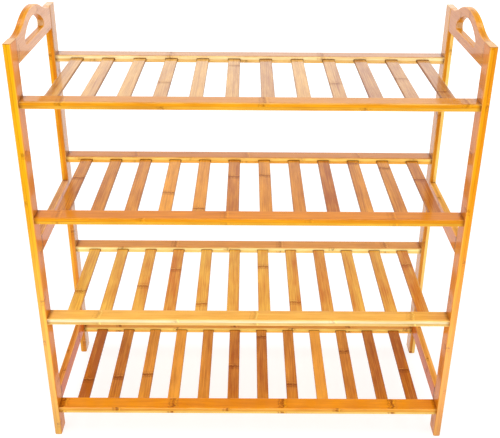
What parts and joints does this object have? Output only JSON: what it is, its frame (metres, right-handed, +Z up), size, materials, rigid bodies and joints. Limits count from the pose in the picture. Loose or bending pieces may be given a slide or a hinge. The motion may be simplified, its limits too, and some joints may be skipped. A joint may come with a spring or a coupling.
{
  "type": "tiered shoe rack",
  "caption": "Free-standing slatted bamboo shoe rack: open tiered shelves screwed between side frames that end in arched carrying handles with hand holes.",
  "frame": {"origin": "on the floor under the middle of the rack", "axes": "+Z up, X across the rack along the shelf rails, -Y the front"},
  "size_m": [0.7, 0.28, 0.74],
  "materials": {
    "bamboo_frame": "clear satin lacquer on carbonised bamboo board",
    "bamboo_rail": "clear satin lacquer on carbonised bamboo board",
    "bamboo_slat": "clear satin lacquer on bamboo strip, colour varies from slat to slat",
    "dowel_wood": "raw hardwood",
    "screw_steel": "zinc plated"
  },
  "bodies": {
    "root": {"bottom_shelf_front_rail": "bamboo_rail", "bottom_shelf_rear_rail": "bamboo_rail", "bottom_shelf_slats_11_12": "bamboo_slat", "bottom_shelf_slats_1_2": "bamboo_slat", "bottom_shelf_slats_3_4": "bamboo_slat", "bottom_shelf_slats_5_6": "bamboo_slat", "bottom_shelf_slats_7_8": "bamboo_slat", "bottom_shelf_slats_9_10": "bamboo_slat", "frame_dowels": "dowel_wood", "front_left_leg": "bamboo_frame", "front_right_leg": "bamboo_frame", "left_bottom_stretcher": "bamboo_frame", "left_handle": "bamboo_frame", "left_middle_stretcher": "bamboo_frame", "rear_left_leg": "bamboo_frame", "rear_right_leg": "bamboo_frame", "right_bottom_stretcher": "bamboo_frame", "right_handle": "bamboo_frame", "right_middle_stretcher": "bamboo_frame", "second_shelf_front_rail": "bamboo_rail", "second_shelf_rear_rail": "bamboo_rail", "second_shelf_slats_11_12": "bamboo_slat", "second_shelf_slats_1_2": "bamboo_slat", "second_shelf_slats_3_4": "bamboo_slat", "second_shelf_slats_5_6": "bamboo_slat", "second_shelf_slats_7_8": "bamboo_slat", "second_shelf_slats_9_10": "bamboo_slat", "shelf_screws": "screw_steel", "third_shelf_front_rail": "bamboo_rail", "third_shelf_rear_rail": "bamboo_rail", "third_shelf_slats_11_12": "bamboo_slat", "third_shelf_slats_1_2": "bamboo_slat", "third_shelf_slats_3_4": "bamboo_slat", "third_shelf_slats_5_6": "bamboo_slat", "third_shelf_slats_7_8": "bamboo_slat", "third_shelf_slats_9_10": "bamboo_slat", "top_shelf_front_rail": "bamboo_rail", "top_shelf_rear_rail": "bamboo_rail", "top_shelf_slats_11_12": "bamboo_slat", "top_shelf_slats_1_2": "bamboo_slat", "top_shelf_slats_3_4": "bamboo_slat", "top_shelf_slats_5_6": "bamboo_slat", "top_shelf_slats_7_8": "bamboo_slat", "top_shelf_slats_9_10": "bamboo_slat"}
  },
  "joints": []
}
